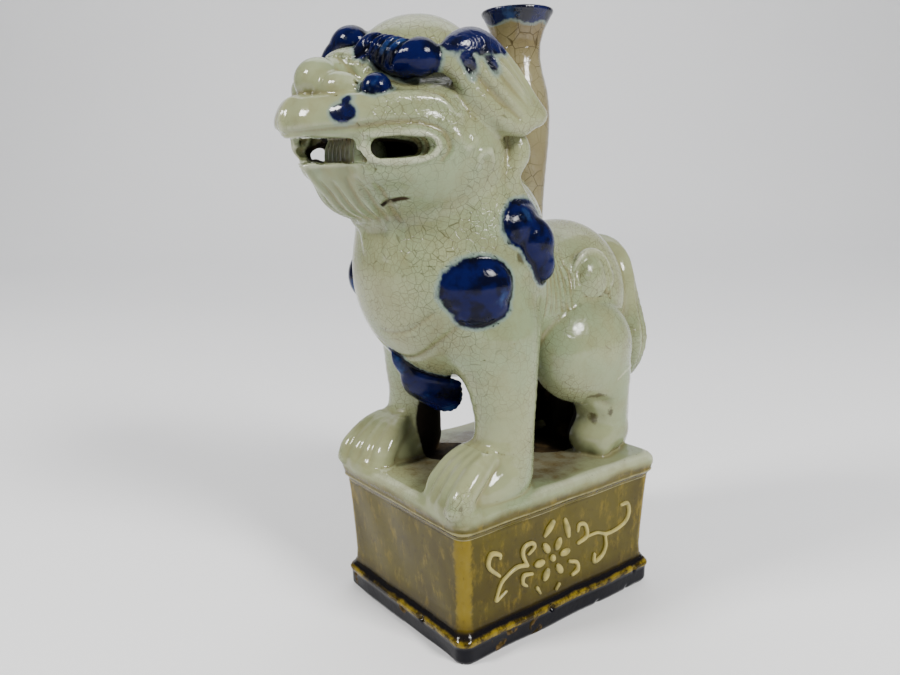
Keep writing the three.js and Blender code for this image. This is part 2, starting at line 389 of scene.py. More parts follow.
def painted_depth(points, patches):
    """How far inside any of some patches each point lies, in millimetres, negative outside."""
    depth = np.full(len(points), -PAINT_REACH)
    for patch in patches:
        near = np.all((points > patch.low - PAINT_REACH) & (points < patch.high + PAINT_REACH), axis=1)
        if near.any():
            x, y, z = points[near].T
            depth[near] = np.maximum(depth[near], -patch.distance(x, y, z))
    return np.clip(depth, -PAINT_REACH, PAINT_REACH)


def place_piece(name, mesh, nodes, slot):
    piece = bpy.data.objects.new(name, mesh)
    bpy.context.scene.collection.objects.link(piece)
    mesh.materials.append(GLAZES[slot])
    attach(piece, "root")
    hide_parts(*nodes)


# ---- glazes ----

class Nodes:
    """A short way to write a material's nodes."""

    def __init__(self, name):
        self.material = bpy.data.materials.new(name)
        self.material.use_nodes = True
        self.tree = self.material.node_tree
        self.shader = self.tree.nodes["Principled BSDF"]
        self.place = self.node("TexCoord").outputs["Object"]

    def node(self, kind, **settings):
        made = self.tree.nodes.new("ShaderNode" + kind)
        for key, value in settings.items():
            setattr(made, key, value)
        return made

    def put(self, socket, value):
        if isinstance(value, bpy.types.NodeSocket):
            self.tree.links.new(value, socket)
        else:
            socket.default_value = value

    def math(self, operation, a, b=0.0):
        made = self.node("Math", operation=operation)
        self.put(made.inputs[0], a)
        self.put(made.inputs[1], b)
        return made.outputs[0]

    def attribute(self, name):
        return self.node("Attribute", attribute_name=name).outputs["Fac"]

    def height(self):
        """The height above the floor, in millimetres."""
        parts = self.node("SeparateXYZ")
        self.put(parts.inputs[0], self.place)
        return self.math("MULTIPLY", parts.outputs["Z"], 1000)

    def noise(self, scale, detail=2.0, rough=0.5, stretch=None):
        made = self.node("TexNoise")
        place = self.place
        if stretch:
            mapped = self.node("Mapping")
            self.put(mapped.inputs["Vector"], place)
            mapped.inputs["Scale"].default_value = stretch
            place = mapped.outputs[0]
        self.put(made.inputs["Vector"], place)
        made.inputs["Scale"].default_value = scale
        made.inputs["Detail"].default_value = detail
        made.inputs["Roughness"].default_value = rough
        return made.outputs["Fac"]

    def ragged(self, value, scale, size):
        """A value with noise of `size` laid over it."""
        noise = self.math("SUBTRACT", self.noise(scale, 3.0, 0.6), 0.5)
        return self.math("ADD", value, self.math("MULTIPLY", noise, size))

    def warped(self, scale, size):
        """Object coordinates pushed about by noise, so that straight cells turn crooked."""
        made = self.node("TexNoise")
        self.put(made.inputs["Vector"], self.place)
        made.inputs["Scale"].default_value = scale
        centred = self.node("VectorMath", operation="SUBTRACT")
        self.put(centred.inputs[0], made.outputs["Color"])
        centred.inputs[1].default_value = (0.5, 0.5, 0.5)
        scaled = self.node("VectorMath", operation="SCALE")
        self.put(scaled.inputs[0], centred.outputs[0])
        scaled.inputs["Scale"].default_value = size
        moved = self.node("VectorMath", operation="ADD")
        self.put(moved.inputs[0], self.place)
        self.put(moved.inputs[1], scaled.outputs[0])
        return moved.outputs[0]

    def cells(self, scale, place, feature="DISTANCE_TO_EDGE"):
        made = self.node("TexVoronoi", feature=feature)
        self.put(made.inputs["Vector"], place)
        made.inputs["Scale"].default_value = scale
        return made.outputs["Distance"]

    def ramp(self, value, low, high, top=1.0):
        """0 up to `low`, `top` from `high`, and smooth between. `low` may be above `high`."""
        made = self.node("MapRange", interpolation_type="SMOOTHSTEP")
        flipped = low > high
        self.put(made.inputs["Value"], value)
        made.inputs["From Min"].default_value = min(low, high)
        made.inputs["From Max"].default_value = max(low, high)
        made.inputs["To Min"].default_value = top if flipped else 0.0
        made.inputs["To Max"].default_value = 0.0 if flipped else top
        return made.outputs["Result"]

    def mix(self, share, a, b):
        made = self.node("Mix", data_type="RGBA")
        self.put(made.inputs["Factor"], share)
        self.put(made.inputs[6], a)
        self.put(made.inputs[7], b)
        return made.outputs[2]

    def bump(self, height, distance, strength=1.0, under=None):
        made = self.node("Bump")
        self.put(made.inputs["Height"], height)
        made.inputs["Distance"].default_value = distance
        made.inputs["Strength"].default_value = strength
        if under is not None:
            self.put(made.inputs["Normal"], under)
        return made.outputs[0]

    def crackle(self, size, width, strength):
        """Thin dark cracks around cells of about `size` metres, fading in and out over the surface."""
        edge = self.cells(1 / size, self.warped(0.35 / size, size * 0.45))
        line = self.ramp(edge, width, 0.0)
        fade = self.ramp(self.noise(36.0), 0.3, 0.62, 1.0)
        return self.math("MULTIPLY", self.math("MULTIPLY", line, fade), strength)


def colour(red, green, blue):
    """A colour as seen on a screen, from 0 to 255, made linear."""
    return (*(((part / 255 + 0.055) / 1.055) ** 2.4 for part in (red, green, blue)), 1.0)


CELADON = colour(136, 140, 104)
CELADON_GREEN = colour(124, 136, 103)
CELADON_OLIVE = colour(114, 108, 72)
CELADON_PALE = colour(172, 176, 150)
CRACK_BROWN = colour(56, 46, 24)
COBALT = colour(6, 12, 58)
COBALT_DEEP = colour(2, 3, 9)
COBALT_THIN = colour(40, 66, 112)
COBALT_HALO = colour(104, 130, 134)
# near-black clay: the colour of unglazed clay, also used as painted shade in the deepest creases and in shaded
# hollows
BARE_CLAY_AND_SHADE = colour(20, 15, 9)
BARE_CLAY_PALE = colour(84, 68, 42)
DUST = colour(104, 100, 82)
OLIVE = colour(74, 66, 13)
OLIVE_DARK = colour(44, 35, 6)
OLIVE_PALE = colour(120, 102, 26)
OLIVE_CREST = colour(142, 136, 92)
SLIP = colour(166, 154, 90)
FOOT_DARK = colour(8, 8, 16)
TUBE_CLAY = colour(122, 115, 84)
TUBE_BROWN = colour(100, 87, 58)


def celadon_layers(nodes, crack_strength):
    """The celadon's colour, with crackle, and the mask of its cracks."""
    base = nodes.mix(nodes.ramp(nodes.noise(20.0, 3.0), 0.38, 0.62), CELADON, CELADON_GREEN)
    base = nodes.mix(nodes.ramp(nodes.noise(42.0, 4.0, 0.6), 0.5, 0.72, 0.6), base, CELADON_OLIVE)
    relief = nodes.attribute("relief")
    base = nodes.mix(nodes.ramp(relief, 0.10, 0.42, 0.8), base, CELADON_PALE)
    base = nodes.mix(nodes.ramp(relief, -0.03, -0.3, 0.75), base, CELADON_OLIVE)
    # painted shade: the deepest creases are darkened towards near-black
    base = nodes.mix(nodes.ramp(relief, -0.3, -0.8, 0.45), base, BARE_CLAY_AND_SHADE)
    wide = nodes.crackle(0.0028, 0.045, crack_strength)
    fine = nodes.crackle(0.0015, 0.06, crack_strength * 0.5)
    clouds = nodes.ramp(nodes.noise(110.0, 4.0, 0.65), 0.42, 0.7, 0.35)
    base = nodes.mix(clouds, base, CELADON_OLIVE)
    cracks = nodes.math("MAXIMUM", wide, fine)
    smooth = nodes.ramp(nodes.ragged(nodes.attribute("melted"), 120.0, 3.0), 1.0, -1.0)
    cracks = nodes.math("MULTIPLY", cracks, smooth)
    base = nodes.mix(cracks, base, CRACK_BROWN)
    specks = nodes.math("MULTIPLY", nodes.ramp(nodes.cells(230.0, nodes.place, "F1"), 0.10, 0.05, 0.6),
                        nodes.ramp(nodes.noise(60.0), 0.55, 0.68))
    return nodes.mix(specks, base, CRACK_BROWN), cracks


def cobalt_over(nodes, base):
    """Cobalt laid over a base colour wherever the painted depth is above zero."""
    depth = nodes.ragged(nodes.attribute("blue"), 380.0, 1.6)
    shade = nodes.mix(nodes.ramp(nodes.noise(130.0, 3.0), 0.45, 0.62, 0.8), COBALT, COBALT_DEEP)
    relief = nodes.attribute("relief")
    shade = nodes.mix(nodes.ramp(nodes.ragged(relief, 150.0, 0.5), 0.42, 0.85, 0.45), shade, COBALT_THIN)
    shade = nodes.mix(nodes.ramp(nodes.noise(85.0, 4.0, 0.6), 0.56, 0.72, 0.6), shade, COBALT_THIN)
    shade = nodes.mix(nodes.ramp(relief, 0.0, -0.2, 0.85), shade, COBALT_DEEP)
    halo = nodes.mix(nodes.ramp(depth, -1.6, -0.2, 0.5), base, COBALT_HALO)
    return nodes.mix(nodes.ramp(depth, -0.5, 0.45), halo, shade)


def bare_dust_and_shade_over(nodes, base):
    """Unglazed clay and dust where the glaze stops, and near-black painted shade where that mask covers shaded
    hollows.
    """
    dust = nodes.mix(nodes.ramp(nodes.noise(180.0, 4.0, 0.65), 0.35, 0.7), DUST, BARE_CLAY_PALE)
    dusty = nodes.ramp(nodes.ragged(nodes.attribute("dusty"), 90.0, 4.0), -0.5, 2.0, 0.85)
    base = nodes.mix(dusty, base, dust)
    # unglazed clay colour, laid also as painted shade where the mask covers the shaded hollows under the belly
    # and inside the mouth
    clay = nodes.mix(nodes.ramp(nodes.noise(70.0, 4.0, 0.6), 0.5, 0.75, 0.7), BARE_CLAY_AND_SHADE, BARE_CLAY_PALE)
    unglazed_and_shaded = nodes.ramp(nodes.ragged(nodes.attribute("unglazed_and_shaded"), 160.0, 2.4), -0.5, 0.6)
    base = nodes.mix(unglazed_and_shaded, base, clay)
    stain = nodes.ramp(nodes.ragged(nodes.attribute("stain"), 420.0, 4.5), -0.4, 1.2, 0.8)
    return nodes.mix(stain, base, CRACK_BROWN), unglazed_and_shaded


def finish_glaze(nodes, base, cracks, unglazed_and_shaded, gloss=0.05, shine=0.42):
    """Gloss that varies a little and is lost on bare clay, over a rippled skin with sunken cracks."""
    nodes.put(nodes.shader.inputs["Base Color"], base)
    rough = nodes.math("ADD", nodes.math("MULTIPLY", nodes.noise(90.0), 0.08), gloss)
    rough = nodes.math("ADD", rough, nodes.math("MULTIPLY", unglazed_and_shaded, 0.6))
    nodes.put(nodes.shader.inputs["Roughness"], rough)
    skin = nodes.bump(nodes.noise(330.0, 2.0), 0.0003, 0.3)
    nodes.put(nodes.shader.inputs["Normal"], nodes.bump(cracks, -0.00008, 0.6, skin))
    shine = nodes.math("MULTIPLY", nodes.math("SUBTRACT", 1.0, nodes.math("MULTIPLY", unglazed_and_shaded, 0.8)), shine)
    nodes.put(nodes.shader.inputs["Specular IOR Level"], shine)
    return nodes.material


def celadon_glaze(name, crack_strength=0.7, shine=0.42):
    """Crackled celadon that turns to cobalt, bare clay or dust wherever those are painted, with painted shade
    in the deepest creases and in shaded hollows.
    """
    nodes = Nodes(name)
    base, cracks = celadon_layers(nodes, crack_strength)
    base, unglazed_and_shaded = bare_dust_and_shade_over(nodes, base)
    return finish_glaze(nodes, cobalt_over(nodes, base), cracks, unglazed_and_shaded, shine=shine)


def olive_layers(nodes):
    """The olive-brown glaze's colour: cloudy, grained, pale on crests and dark in hollows."""
    base = nodes.mix(nodes.ramp(nodes.noise(24.0, 4.0, 0.6), 0.44, 0.7, 0.6), OLIVE, OLIVE_DARK)
    grain = nodes.noise(150.0, 5.0, 0.7, (1.6, 1.6, 0.7))
    base = nodes.mix(nodes.ramp(grain, 0.5, 0.72, 0.55), base, OLIVE_PALE)
    base = nodes.mix(nodes.ramp(nodes.noise(420.0, 3.0, 0.7), 0.55, 0.75, 0.5), base, OLIVE_DARK)
    relief = nodes.attribute("relief")
    base = nodes.mix(nodes.ramp(nodes.ragged(relief, 220.0, 0.2), 0.08, 0.3, 0.8), base, OLIVE_CREST)
    return nodes.mix(nodes.ramp(relief, -0.04, -0.25, 0.85), base, OLIVE_DARK)


def rim_glaze(name):
    """Celadon that runs over the plinth's edge into olive."""
    nodes = Nodes(name)
    base, cracks = celadon_layers(nodes, 0.35)
    base, unglazed_and_shaded = bare_dust_and_shade_over(nodes, base)
    runs = nodes.ragged(nodes.ragged(nodes.height(), 45.0, 5.0), 260.0, 1.2)
    olive = nodes.ramp(runs, GROUND - 2.4, GROUND - 6.2)
    return finish_glaze(nodes, nodes.mix(olive, base, olive_layers(nodes)), cracks, unglazed_and_shaded, shine=0.25)


def olive_glaze(name):
    """Olive on the walls, with ochre corner posts, slip drawing, and a dark chipped foot under a ridge."""
    nodes = Nodes(name)
    base = olive_layers(nodes)
    post = nodes.ragged(nodes.ragged(nodes.attribute("post"), 160.0, 2.6), 600.0, 2.6)
    base = nodes.mix(nodes.ramp(post, -1.0, 1.0, 0.8), base, OLIVE_PALE)
    cover = nodes.ramp(nodes.noise(200.0, 3.0), 0.2, 0.6, 0.9)
    slip = nodes.math("MULTIPLY", nodes.ramp(nodes.attribute("slip"), -0.2, 0.2), cover)
    base = nodes.mix(slip, base, SLIP)
    height = nodes.ragged(nodes.height(), 120.0, 1.6)
    base = nodes.mix(nodes.ramp(height, 18.0, 10.5, 0.75), base, OLIVE_DARK)
    base = nodes.mix(nodes.ramp(height, 12.6, 10.6, 0.92), base, FOOT_DARK)
    ridge = nodes.math("MULTIPLY", nodes.ramp(height, 6.6, 7.4), nodes.ramp(height, 9.8, 8.8))
    ridge = nodes.math("MULTIPLY", ridge, nodes.ramp(nodes.noise(34.0, 3.0), 0.36, 0.46))
    ochre = nodes.mix(nodes.ramp(nodes.noise(160.0, 4.0, 0.7), 0.4, 0.6), OLIVE_PALE, OLIVE_DARK)
    base = nodes.mix(ridge, base, ochre)
    foot = nodes.ramp(height, 7.2, 6.4)
    chips = nodes.math("MULTIPLY", nodes.ramp(nodes.noise(70.0, 4.0), 0.62, 0.66), foot)
    base = nodes.mix(foot, base, FOOT_DARK)
    worn = nodes.mix(nodes.ramp(nodes.noise(300.0, 3.0), 0.4, 0.6), OLIVE_DARK, BARE_CLAY_PALE)
    base = nodes.mix(chips, base, worn)
    pits = nodes.ramp(nodes.noise(500.0, 3.0), 0.5, 0.8, 0.3)
    return finish_glaze(nodes, base, pits, chips, 0.08, 0.16)


def tube_glaze(name):
    """A browner glaze with wide crackle."""
    nodes = Nodes(name)
    base = nodes.mix(nodes.ramp(nodes.noise(26.0, 3.0), 0.35, 0.65), TUBE_CLAY, TUBE_BROWN)
    wide = nodes.crackle(0.0058, 0.04, 0.95)
    fine = nodes.crackle(0.0028, 0.035, 0.45)
    cracks = nodes.math("MAXIMUM", wide, fine)
    base = nodes.mix(cracks, base, CRACK_BROWN)
    spots = nodes.ramp(nodes.cells(70.0, nodes.place, "F1"), 0.10, 0.06, 0.9)
    base = nodes.mix(spots, base, CRACK_BROWN)
    base, unglazed_and_shaded = bare_dust_and_shade_over(nodes, base)
    return finish_glaze(nodes, cobalt_over(nodes, base), cracks, unglazed_and_shaded)


GLAZES = {
    "celadon_glaze": celadon_glaze("celadon"),
    "cobalt_glaze": celadon_glaze("cobalt", 0.25, 0.15),
    "olive_glaze": olive_glaze("olive"),
    "rim_glaze": rim_glaze("rim"),
    "tube_glaze": tube_glaze("tube"),
}
PAINT = {name: [] for name in ("blue", "unglazed_and_shaded", "dusty", "stain", "melted", "slip", "post")}


# ---- the plinth's shape ----

# how far the plinth's outline is drawn in at each height
PLINTH_INSETS = [
    (-5, 1.8), (0, 1.5), (1.2, 0.9), (6.4, 0.8), (7.4, 0.3), (8.6, 0.4), (10, 1.6),
    (12, 2.6), (16, 2.9), (24, 2.7), (36, 2.1), (44, 1.6), (47.4, 1.3), (48.8, 0.7),
    (49.5, -0.1), (50.4, 0.2), (52.5, -0.4), (54.5, -0.3), (56, 0.6), (57, 2.2), (60, 5.0),
]
PLINTH_CORNER = 4.5


def plinth_shape(low, high):
    return Slab((HALF_WIDTH, HALF_DEPTH), PLINTH_CORNER, low, high, PLINTH_INSETS)


def across(side, point):
    return (side * point[0], point[1], point[2])


def flank(points, side):
    return [across(side, point) for point in points]


def sided(points, side):
    """Places on one side of the head, which leans a little."""
    return [(side * x, y, z + (1 - side) * LEAN * abs(x)) for x, y, z in points]


def beside(side, x, y, z):
    return sided([(x, y, z)], side)[0]


# ---- the lion's body ----

lion = Clay((-43, -92, WALL_TOP - 2), (43, 79, 226), VOXEL)


def model_trunk():
    lion.add(Ball((0, -21.5, 136), (35.8, 37.2, 42)), 0)
    lion.add(Ball((0, -23, 155), (30, 29.4, 20)), 9)
    lion.add(Ball((0, 11, 121), (28.5, 32, 28)), 9)
    lion.add(Ball((0, 33, 119.5), (29, 27, 31)), 8)
    lion.carve(Ball((0, 2, 76), (15, 60, 19)), 4)
    lion.add(rope([(0, 48, 88), (-1, 45, 72), (-1, 43, 58)], [12, 9, 9.5], 3), 4)


def model_foreleg(side):
    lion.add(Ball(across(side, (23, -20, 114)), (14, 16, 20)), 7)
    line = [(25.5, -20.5, 112), (27.5, -20.5, 96), (28.5, -20.5, 80), (28.3, -22.5, 65)]
    lion.add(rope(flank(line, side), [13.4, 12.6, 10.8, 12], 4), 7)


def model_paw(side):
    lion.add(Ball(across(side, (27.6, -31, 60)), (12.4, 16.5, 9.5)), 5)
    for toe in (-1.5, -0.5, 0.5, 1.5):
        back = (28 + toe * 2.6, -27, 73.5)
        knuckle = (27.8 + toe * 4.8, -37 - toe * 0.8, 68.5)
        low = (27.6 + toe * 6.0, -44.5 - toe * 1.4, 62)
        tip = (27.4 + toe * 6.2, -47 - toe * 1.6, 57.5)
        lion.add(rope(flank((back, knuckle, low, tip), side), [2.8, 4.2, 4.4, 4.0], 4), 1.5)
    lion.add(Ball(across(side, (28, -44, 56)), (13, 7.4, 4.4)), 3)


def haunch_shape(side):
    return Ball(across(side, (23.5, 24.5, 101)), (14.5, 24.5, 21.5), (-6, 0, 0))


def hip_curl_shape(side):
    button = Ball(across(side, (25.8, 26.4, 129.5)), (4.6, 7.6, 8), (0, 0, side * 12))
    arc = []
    for angle in range(150, -70, -20):
        rise, reach = math.sin(math.radians(angle)), math.cos(math.radians(angle))
        arc.append(across(side, (26.2 - 0.6 * rise, 26 + 9.4 * reach, 129.5 + 9.8 * rise)))
    return button, rope(arc, [0.6, 1.2] + [1.5] * 7 + [1.2, 0.6], 2)


def model_hind_leg(side):
    lion.add(haunch_shape(side), 1.6)
    lion.add(Rod(across(side, (23.5, 35, 86)), across(side, (22.5, 37.5, 69)), 12, 10.5), 5)
    lion.add(Ball(across(side, (22.5, 35.5, 64)), (10.6, 13.5, 8.6)), 4)
    lion.add(rope(flank(((17, 44, 96), (16, 48, 78), (16, 47, 60)), side), [10, 9, 9.5], 3), 3)
    for toe in (-1, 0, 1):
        tip = across(side, (22.5 + toe * 6.2, 28 + abs(toe) * 2.4, 60))
        lion.add(Rod(across(side, (22.5 + toe * 4.6, 33, 66)), tip, 4.2, 3.8), 3)
    lion.carve(Ball(across(side, (34, 24, 79.5)), (3.4, 6, 2.2)), 2.5)


def tail_shape():
    return Melt([Ball((0, 61, 100), (24.5, 12.4, 25)), Ball((0, 57.5, 121), (20.5, 13, 22))], 7)


def comb_tail():
    for angle in range(-84, 85, 12):
        turn = math.radians(angle)
        line = []
        for height, wide in ((138, 10), (130, 17), (118, 21.5), (104, 25), (90, 24), (79, 17)):
            line.append((wide * math.sin(turn), 60 + 0.6 * wide * math.cos(turn), height))
        lion.groove(line, [0.5, 1.2, 1.3, 1.3, 1.2, 0.6], 1.0)


def bell_shape(side):
    x, y = (29.8, -34.6) if side > 0 else (28.4, -39.6)
    dome = Ball((side * x, y, 132.3), (7.2, 12.8, 10.4), (0, 0, side * -32))
    lip = Ball((side * (x + 0.8), y + 2, 124.8), (5.8, 9.4, 6), (8 * side, 0, side * -28))
    return Melt([dome, lip], 0.9)


def tuft_shape(side):
    upper = Ball(across(side, (28, -16.5, 151.5)), (8.4, 10.4, 9), (20, 0, 0))
    middle = Ball(across(side, (30.4, -9.4, 145.6)), (7.4, 8.8, 10), (35, 0, 0))
    lower = Ball(across(side, (31, -6.4, 138.5)), (5.6, 6, 7.8), (25, 0, 0))
    return Melt([upper, middle, lower], 1.2)


TASSEL_TIPS = [
    (8.6, -26, 92.5), (7.6, -24.6, 88), (5.8, -24.4, 84.4),
    (2.8, -25.6, 81.8), (-1.4, -28.6, 82), (-5.4, -32, 84.4),
]


def tassel_shape():
    """A leaf that hangs from the chest on a narrow stalk and opens into a fan."""
    strands = [rope([(-1.6, -47, 107), (-1, -45.4, 103), (-0.4, -42.6, 99.4)], [1.6, 2.8, 3.2], 4)]
    for tip in smooth_path(TASSEL_TIPS, 2):
        x, y, z = between((-0.6, -43, 99.5), tip, 0.45)
        strands.append(rope([(-0.6, -43.4, 100), (x, y - 2, z - 0.6), tip], [2.2, 2.6, 1.5], 5))
    return Melt(strands, 0.5)


def model_body_details():
    for side in SIDES.values():
        for shape in hip_curl_shape(side):
            lion.add(shape, 2.4)
        for hair in range(6):
            start = across(side, (26, 0.5 + hair * 2.4, 143 - hair * 0.4))
            middle = across(side, (32, 1.0 + hair * 2.6, 131))
            end = across(side, (33, 1 + hair * 2.4, 117 + hair * 0.8))
            lion.groove([start, middle, end], [0.4, 1.0, 0.5], 0.8)
        for notch in range(11):
            rear = lion.snapped([across(side, (36, -10.6, 65 + notch * 2.9))])[0]
            lion.carve(Ball(rear, (2.0, 2.0, 1.1)), 0.5)
    fold = [(-8, -54, 108), (5, -45, 106), (18, -40, 116), (27, -38, 121)]
    lion.groove(fold, [0.2, 0.5, 0.5, 0.2], 1.8, -0.1)
    lion.groove([(2, -60, 112), (12, -50, 117), (22, -46, 124)], [0.2, 0.4, 0.2], 1.8, -0.1)
    lion.ridge([(-5, -46, 158), (-4, -54, 152), (-1, -56, 144)], [1.4, 1.8, 0.8], 2, 0.8)
    lion.ridge([(8, -46, 158), (10, -52, 151), (9, -54, 143)], [1.0, 1.3, 0.6], 3, 1.0)


# ---- the lion's head ----

def model_skull():
    lion.add(Ball((0, -35, 200.6), (24, 24, 23)), 0)
    lion.add(Ball((0, -33, 184), (33, 25, 24)), 8)
    lion.add(Ball((0, -29, 171), (31.5, 20.5, 20)), 9)
    lion.add(Ball((0, -52, 190), (29, 24, 12)), 6)
    lion.add(Ball((0, -61.5, 201), (14, 11, 10)), 6)
    for side in SIDES.values():
        lion.add(Ball(beside(side, 27, -42, 181), (9.5, 18, 16)), 6)
        lion.add(Ball(beside(side, 14, -63, 189), (12.5, 14.5, 7), (0, 0, side * 24)), 4)


def lip_line(height, inset=0.0, forward=0.0):
    """The plan outline of the muzzle, from the middle round to the corner of the mouth, on the left."""
    plan = [(0, -83.5), (9, -82.8), (19, -77.6), (26.5, -69.6), (31.5, -60.5), (34, -51), (34, -43)]
    front = [min(1, max(0, (31.5 - x) / 10)) * forward for x, _ in plan]
    return [(x - inset * min(1, x / 20), y + inset * (1 if x < 25 else 0.2) - push, height)
            for (x, y), push in zip(plan, front)]


def model_muzzle():
    for side in SIDES.values():
        lion.add(rope(sided(lip_line(190, 5.6, 2.4), side), [4.6, 4.6, 4.6, 4.4, 4.4, 4, 3.6], 4), 3)
        lion.add(rope(sided(lip_line(186, 5.0, 3.4), side), [5, 5, 5, 4.8, 4.6, 4.4, 4], 4), 3)
        lion.add(rope(sided(lip_line(178, 6.0, -0.4), side), [5.2, 5.0, 4.6, 4.6, 4.8, 5, 5], 4), 4)
        lion.add(rope(sided(lip_line(171.6, 6.8, -4.6), side), [5.0, 5.0, 5.2, 5.2, 5, 4.6, 4], 4), 3)
    lion.add(Ball((0, -48, 167.5), (27, 24.5, 11), (3, 0, 0)), 5)
    lion.add(Ball((0, -55.4, 164), (18, 15, 9.6)), 5)
    lion.add(Ball((0, -42, 168), (29, 21, 15)), 8)


def slot_ring(side):
    ring = [(25.4, -72.6, 181.4), (30.5, -65, 182.3), (34, -57, 182), (35, -52, 178.6), (34, -56, 174.6),
            (30.5, -64.6, 173.4), (26.8, -70.6, 174), (25, -73.4, 177.4), (25.4, -72.6, 181.4)]
    return sided(ring, side)


def mouth_shapes():
    """The hollow of the mouth, the window at its front and the slots at its sides."""
    shapes = [Ball((0, -57, 177.6), (24, 15, 5.6))]
    for side in SIDES.values():
        for inward in (0, 4, 8, 12):
            top = [(0, -83, 179.3), (10, -82, 179.3), (18.4, -77.6, 179.1)]
            low = [(0, -82, 176.2), (10, -80.5, 176.2), (20.9, -74, 175.8)]
            for line, end in ((top, 2.3), (low, 2.2)):
                line = [(x, y + inward, z) for x, y, z in line]
                shapes.append(rope(sided(line, side), [2.9, 2.8, end], 3))
        drop, radii = (0, [3.2, 3.4, 3.1]) if side > 0 else (3.6, [2.7, 2.9, 2.6])
        for inward in (0, 4, 8):
            slot = [(29.6, -66.8 + drop, 178 - drop), (32.6, -61.4, 178.2 - drop), (34.8, -56.2, 178.2 - drop)]
            slot = [(x - inward, y, z) for x, y, z in slot]
            shapes.append(rope(sided(slot, side), radii, 4))
    return shapes


def tongue_shape():
    ribs = [Ball((6, -62, 176.5), (10, 7.6, 7.4))]
    for rib in range(8):
        x = -3.4 + rib * 2.7
        ribs.append(rope([(x, -65 - 0.1 * x, 184), (x, -68.4, 178), (x, -68, 171)], [1.9, 2.1, 2.2], 3))
    return Melt(ribs, 0.3)


def nose_shape():
    lobes = [Ball((0, -73.4, 199.8), (8.6, 7.8, 7.4))]
    for side in SIDES.values():
        wing = sided([(6, -73, 196.5), (12, -71.6, 196.4), (17, -68, 195.8)], side)
        lobes.append(rope(wing, [5, 5.2, 2.4], 5))
    return Melt(lobes, 1.4)


def eye_shape(side):
    return Ball(beside(side, 22.2, -65.6, 195.7), (4.7, 4.8, 4.8))


def brow_shape(side):
    """A curled brow; the right one rises to a knob over the nose and falls away behind it."""
    if side < 0:
        knob = Ball((-10, -55, 213.8), (8, 6.4, 6))
        fall = rope([(-12, -56, 212.6), (-18, -56.5, 209), (-24, -54, 205.5)], [5.2, 5.2, 5], 5)
        return Melt([knob, fall], 1.0)
    lobe = Ball((27, -52.4, 205.2), (6, 6.8, 6.2), (0, 0, -30))
    body = rope([(12.5, -58.6, 209), (18, -57, 207), (23, -54.6, 205.2)], [4.2, 5.8, 6], 5)
    hook = [(14, -56.6, 211.6), (10, -58.6, 212), (7.6, -61.2, 209.6), (9.5, -63, 206.6)]
    hook = rope(hook, [2, 2.4, 2.4, 2], 5)
    return Melt([lobe, body, hook], 1.0)


def comb_left_brow():
    """Slanting grooves over the brow's inner half."""
    for mark in range(5):
        top = between((13.5, -52, 215), (25, -47, 213), mark / 4)
        low = between((9.5, -66, 205), (20.5, -62, 199), mark / 4)
        middle = between(top, low, 0.5)
        lion.groove([top, (middle[0] + 2, middle[1] - 5, middle[2] + 2), low], [0.4, 1.1, 1.2, 0.7], 0.8)


def ear_strands(side):
    strands = [
        ([(33.4, -42.5, 200), (35, -34, 191), (36, -25, 185.6), (36, -18.4, 183.6)], [2.8, 3.8, 3.6, 2.2]),
        ([(34, -39, 204), (36, -30, 196.4), (36.4, -20.5, 188.8), (36.3, -12.5, 186.8)], [3.4, 4, 3.8, 2.2]),
        ([(33.6, -34.5, 207), (36, -27, 200), (36.5, -18.6, 191.6), (36.3, -10.2, 187.9)], [4, 4, 3.5, 1.2]),
        ([(32, -30, 208), (34.4, -24, 202), (35.6, -18, 195), (36.2, -10.8, 188.6)], [4, 3.8, 3.1, 1.3]),
        ([(30, -27, 206.5), (32, -22, 201.5), (34, -17.6, 196), (35.8, -11.4, 189.4)], [3.6, 3.4, 2.8, 1.2]),
    ]
    return [rope(sided(line, side), radii, 5) for line, radii in strands]


def ear_shape(side):
    arch = [(31.4, -45.5, 203.5), (31.8, -41.5, 207.5), (31.5, -34.5, 209.4), (31, -28, 206.8)]
    arch = rope(sided(arch, side), [3.6, 5.2, 5.4, 4.8], 5)
    flap = Ball(beside(side, 32, -28, 195), (6, 13, 12.5), (-28, 0, 0))
    web = rope(sided([(35.2, -26, 187), (36, -18, 185), (36.2, -12.5, 187)], side), [3.4, 2.6, 1.6], 4)
    return Melt([Melt([flap, arch, web], 3), *ear_strands(side)], 3.0)


def comb_ear(side):
    """Soft furrows from the arch of the ear down to its point."""
    for start, middle, end in (
        ((37, -41, 202), (38.5, -32, 193.5), (39, -23, 187)),
        ((38, -36.5, 205.5), (39.5, -28, 197.5), (39.5, -19, 190)),
        ((38, -31.5, 207), (38.5, -24.5, 200.5), (39, -16.5, 191.5)),
        ((36, -27.5, 207), (37.5, -21.5, 201.5), (38.5, -15, 192.5)),
    ):
        lion.groove(sided([start, middle, end], side), [0.2, 0.8, 0.8, 0.2], 2.0)


def mane_lock_shape(side):
    line = [(28, -16, 183), (29, -14.4, 176.5), (28.6, -17.6, 168.5), (27, -13.4, 160), (25, -7.6, 153)]
    return rope(sided(line, side), [3.6, 4.6, 4.0, 4.8, 5.4], 5)


